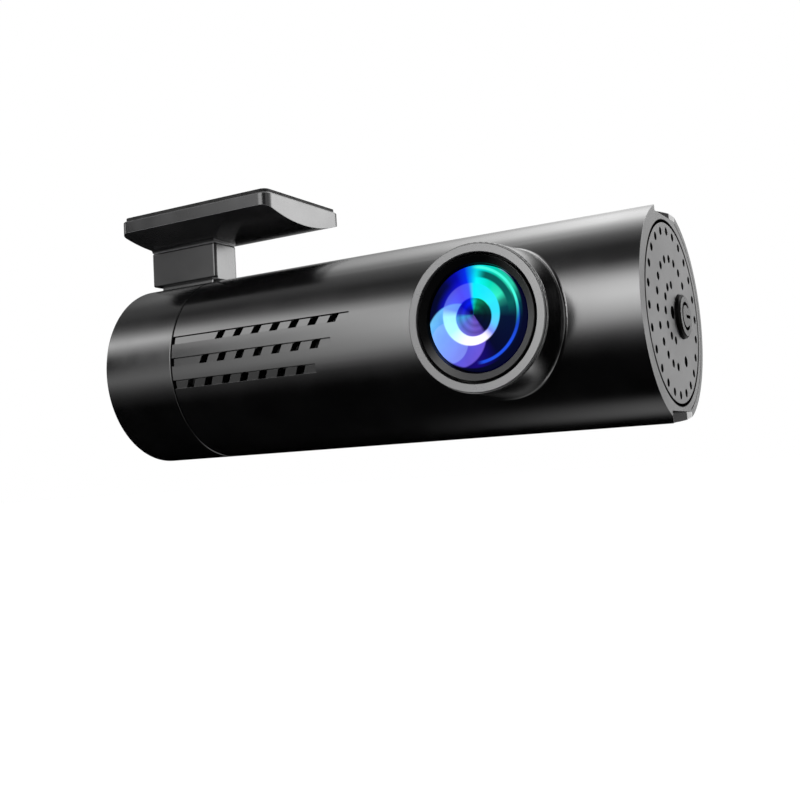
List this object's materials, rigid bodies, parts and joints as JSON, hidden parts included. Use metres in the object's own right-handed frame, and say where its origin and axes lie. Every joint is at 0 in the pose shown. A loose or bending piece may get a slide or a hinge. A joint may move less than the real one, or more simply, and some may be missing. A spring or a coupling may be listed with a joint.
{
  "type": "dash camera",
  "caption": "Cylindrical windscreen dash camera: black tube with front lens barrel, louvred vents, perforated end cap with power button, turning in a ring bracket with adhesive plate.",
  "frame": {"origin": "centre of the face that sticks to the windscreen (outer face of the adhesive pad's liner)", "axes": "+Z out of that face towards the windscreen; +X along the camera tube from the mount end to the power button end; -Y is where the lens looks at zero tilt"},
  "size_m": [0.0912, 0.0355, 0.0417],
  "materials": {
    "housing_black": "satin black moulded shell with long soft highlights",
    "bracket_black": "fine-grained black moulding",
    "foam_tape": "closed-cell black foam tape",
    "liner_film": "glossy red release film",
    "cap_black": "satin black moulding that reads grey where it reflects light",
    "button_black": "satin black face, engraved symbol",
    "bezel_black": "satin black ring that reads grey where it reflects light",
    "hood_black": "anti-reflective black",
    "lens_metal": "black anodised",
    "lens_glass": "polished, blue-green coating",
    "filter_glass": "polished, blue-tinted coating",
    "rubber_black": "soft black rubber",
    "thermal_grey": "soft grey silicone",
    "frame_plastic": "black moulding",
    "mesh_black": "fine woven dust mesh",
    "circuit_board": "green solder mask",
    "chip_black": "moulded package",
    "shield_steel": "plated sheet steel",
    "plunger_white": "white moulding",
    "washer_nylon": "natural nylon",
    "screw_steel": "zinc plated",
    "sink_aluminium": "black anodised, extruded",
    "capacitor_sleeve": "shrink sleeve",
    "card_black": "thin moulded card",
    "light_guide": "clear acrylic",
    "icon_blue": "lit translucent inlay",
    "icon_red": "lit translucent inlay",
    "flex_film": "polyimide film"
  },
  "bodies": {
    "bracket": {"mount_plate": "bracket_black", "adhesive_pad": "foam_tape", "release_liner": "liner_film", "bracket_stem": "bracket_black", "plate_screws": "screw_steel", "stem_screws": "screw_steel", "bracket_ring": "housing_black", "ring_end_disc": "housing_black"},
    "camera": {"aperture_stop": "hood_black", "board_screws": "screw_steel", "camera_icon": "icon_blue", "card_socket": "shield_steel", "end_board": "circuit_board", "end_cap": "cap_black", "end_flex": "flex_film", "friction_washer": "washer_nylon", "front_element": "lens_glass", "heat_sink": "sink_aluminium", "image_sensor": "chip_black", "inner_frame": "frame_plastic", "ir_filter": "filter_glass", "lens_barrel": "lens_metal", "lens_bezel": "bezel_black", "lens_holder": "frame_plastic", "lens_hood": "hood_black", "lens_seal": "rubber_black", "main_board": "circuit_board", "main_housing": "housing_black", "memory_chips": "chip_black", "microphone": "shield_steel", "middle_element": "filter_glass", "pivot_screws": "screw_steel", "power_inductors": "chip_black", "power_switch": "chip_black", "processor": "chip_black", "rear_element": "filter_glass", "reset_switch": "chip_black", "retaining_plate": "shield_steel", "sensor_board": "circuit_board", "sensor_flex": "flex_film", "sensor_screws": "screw_steel", "speaker_cone": "mesh_black", "speaker_frame": "frame_plastic", "speaker_gasket": "rubber_black", "speaker_magnet": "shield_steel", "speaker_mesh": "mesh_black", "status_leds": "plunger_white", "status_light_guides": "light_guide", "supercapacitors": "capacitor_sleeve", "thermal_pad": "thermal_grey", "usb_socket": "shield_steel", "wifi_module": "shield_steel", "wireless_icon": "icon_red"},
    "power_button": {"power_button": "button_black"},
    "power_plunger": {"power_plunger": "plunger_white"},
    "reset_plunger": {"reset_plunger": "plunger_white"},
    "memory_card": {"memory_card": "card_black"}
  },
  "joints": [
    {"name": "camera_tilt", "type": "hinge", "parent": "bracket", "child": "camera", "pos_m": [-0.0016, 0, -0.02672], "axis": [-1, 0, 0], "range_deg": [-45, 90]},
    {"name": "power_press", "type": "slide", "parent": "camera", "child": "power_button", "axis": [-1, 0, 0], "range_m": [0, 0.0005], "stiffness_N_per_m": 3000},
    {"name": "power_plunger_press", "type": "slide", "parent": "camera", "child": "power_plunger", "axis": [-1, 0, 0], "range_m": [0, 0.0005]},
    {"name": "reset_press", "type": "slide", "parent": "camera", "child": "reset_plunger", "axis": [-1, 0, 0], "range_m": [0, 0.00025], "stiffness_N_per_m": 4000},
    {"name": "card_pull", "type": "slide", "parent": "camera", "child": "memory_card", "axis": [0, 0, 1], "range_m": [0, 0.012]}
  ],
  "couplings": [
    {"joint": "power_plunger_press", "follows": "power_press", "ratio": 1}
  ]
}
